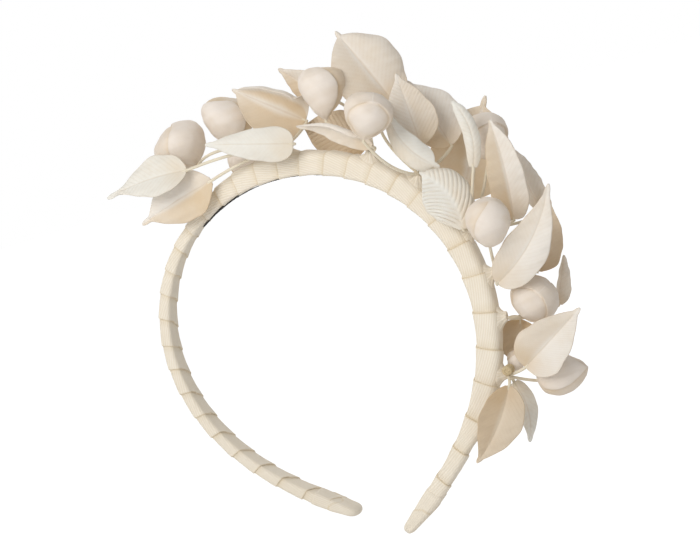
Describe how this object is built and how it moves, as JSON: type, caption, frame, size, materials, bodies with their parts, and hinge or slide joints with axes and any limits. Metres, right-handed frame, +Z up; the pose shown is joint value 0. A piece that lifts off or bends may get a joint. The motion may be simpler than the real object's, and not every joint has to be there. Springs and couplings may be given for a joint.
{
  "type": "leaf and bud headband",
  "caption": "Narrow springy headband wound in ribbon, trimmed over one side with wired sprays of moulded leather leaves and buds.",
  "frame": {"origin": "the crown's inner face, on the grip strip, where the band rests on the top of the head", "axes": "+Z up, away from the head; +X towards the side of the head that carries the long run of leaves; -Y towards the face of the leaves, which is the wearer's front"},
  "size_m": [0.1781, 0.0563, 0.187],
  "materials": {
    "ribbon": "cream grosgrain ribbon, ribs along the band, soft sheen",
    "band_spring": "flat spring strip, hidden under the ribbon",
    "stem_wrap": "cream covered wire",
    "grip_strip": "near-black pile strip",
    "wire_end": "tan bound wire ends",
    "leaf_leather": "pale pinkish-cream leather, pressed veins, matt",
    "bud_leather": "pale pinkish-cream leather, smooth, matt"
  },
  "bodies": {
    "crown": {"grip_strip": "grip_strip", "ribbon_crown": "ribbon", "spray_1_ribbon_fold": "ribbon", "spray_2_ribbon_fold": "ribbon", "spray_3_ribbon_fold": "ribbon", "spring_band_crown": "band_spring", "stem_bed_crown": "stem_wrap"},
    "left_arm": {"ribbon_left": "ribbon", "ribbon_tip_left": "ribbon", "spring_band_left": "band_spring"},
    "right_arm": {"ribbon_right": "ribbon", "ribbon_tip_right": "ribbon", "spray_4_ribbon_fold": "ribbon", "spray_5_ribbon_fold": "ribbon", "spray_6_ribbon_fold": "ribbon", "spray_7_ribbon_fold": "ribbon", "spring_band_right": "band_spring", "stem_bed_right": "stem_wrap", "wire_end_bundle": "wire_end"},
    "spray_1": {"spray_1_bud_1": "bud_leather", "spray_1_bud_2": "bud_leather", "spray_1_bud_3": "bud_leather", "spray_1_leaf_1": "leaf_leather", "spray_1_leaf_2": "leaf_leather", "spray_1_leaf_3": "leaf_leather", "spray_1_leaf_4": "leaf_leather", "spray_1_stems": "stem_wrap"},
    "spray_2": {"spray_2_bud_1": "bud_leather", "spray_2_leaf_1": "leaf_leather", "spray_2_leaf_2": "leaf_leather", "spray_2_leaf_3": "leaf_leather", "spray_2_stems": "stem_wrap"},
    "spray_3": {"spray_3_bud_1": "bud_leather", "spray_3_leaf_1": "leaf_leather", "spray_3_leaf_2": "leaf_leather", "spray_3_leaf_3": "leaf_leather", "spray_3_leaf_4": "leaf_leather", "spray_3_stems": "stem_wrap"},
    "spray_4": {"spray_4_bud_1": "bud_leather", "spray_4_leaf_1": "leaf_leather", "spray_4_leaf_2": "leaf_leather", "spray_4_leaf_3": "leaf_leather", "spray_4_leaf_4": "leaf_leather", "spray_4_leaf_5": "leaf_leather", "spray_4_stems": "stem_wrap"},
    "spray_5": {"spray_5_bud_1": "bud_leather", "spray_5_leaf_1": "leaf_leather", "spray_5_leaf_2": "leaf_leather", "spray_5_stems": "stem_wrap"},
    "spray_6": {"spray_6_bud_1": "bud_leather", "spray_6_leaf_1": "leaf_leather", "spray_6_leaf_2": "leaf_leather", "spray_6_stems": "stem_wrap"},
    "spray_7": {"spray_7_bud_1": "bud_leather", "spray_7_bud_2": "bud_leather", "spray_7_leaf_1": "leaf_leather", "spray_7_leaf_2": "leaf_leather", "spray_7_leaf_3": "leaf_leather", "spray_7_stems": "stem_wrap"}
  },
  "joints": [
    {"name": "left_arm_flex", "type": "hinge", "parent": "crown", "child": "left_arm", "pos_m": [-0.06131, 0.00285, -0.02898], "axis": [0, 1, 0], "range_deg": [-1, 10], "stiffness_Nm_per_rad": 1.3},
    {"name": "right_arm_flex", "type": "hinge", "parent": "crown", "child": "right_arm", "pos_m": [0.06489, -0.00285, -0.027], "axis": [0, -1, 0], "range_deg": [-1, 10], "stiffness_Nm_per_rad": 1.3},
    {"name": "spray_1_bend", "type": "hinge", "parent": "crown", "child": "spray_1", "pos_m": [0.01009, -0.00005, 0.01258], "axis": [0.9924, 0, -0.1228], "range_deg": [-8, 12]},
    {"name": "spray_2_bend", "type": "hinge", "parent": "crown", "child": "spray_2", "pos_m": [0.04283, -0.00088, 0.00083], "axis": [0.8408, 0, -0.5413], "range_deg": [-10, 15]},
    {"name": "spray_3_bend", "type": "hinge", "parent": "crown", "child": "spray_3", "pos_m": [0.05834, -0.00185, -0.01251], "axis": [0.6608, 0, -0.7506], "range_deg": [-12, 3]},
    {"name": "spray_4_bend", "type": "hinge", "parent": "right_arm", "child": "spray_4", "pos_m": [0.07263, -0.00379, -0.03699], "axis": [0.3286, 0, -0.9445], "range_deg": [-4, 12]},
    {"name": "spray_5_bend", "type": "hinge", "parent": "right_arm", "child": "spray_5", "pos_m": [0.07645, -0.00539, -0.0548], "axis": [0.0874, 0, -0.9962], "range_deg": [-12, 15]},
    {"name": "spray_6_bend", "type": "hinge", "parent": "right_arm", "child": "spray_6", "pos_m": [0.07601, -0.00715, -0.07179], "axis": [-0.1361, 0, -0.9907], "range_deg": [-8, 6]},
    {"name": "spray_7_bend", "type": "hinge", "parent": "right_arm", "child": "spray_7", "pos_m": [0.07038, -0.00973, -0.09231], "axis": [-0.3846, 0, -0.9231], "range_deg": [-8, 10]}
  ]
}
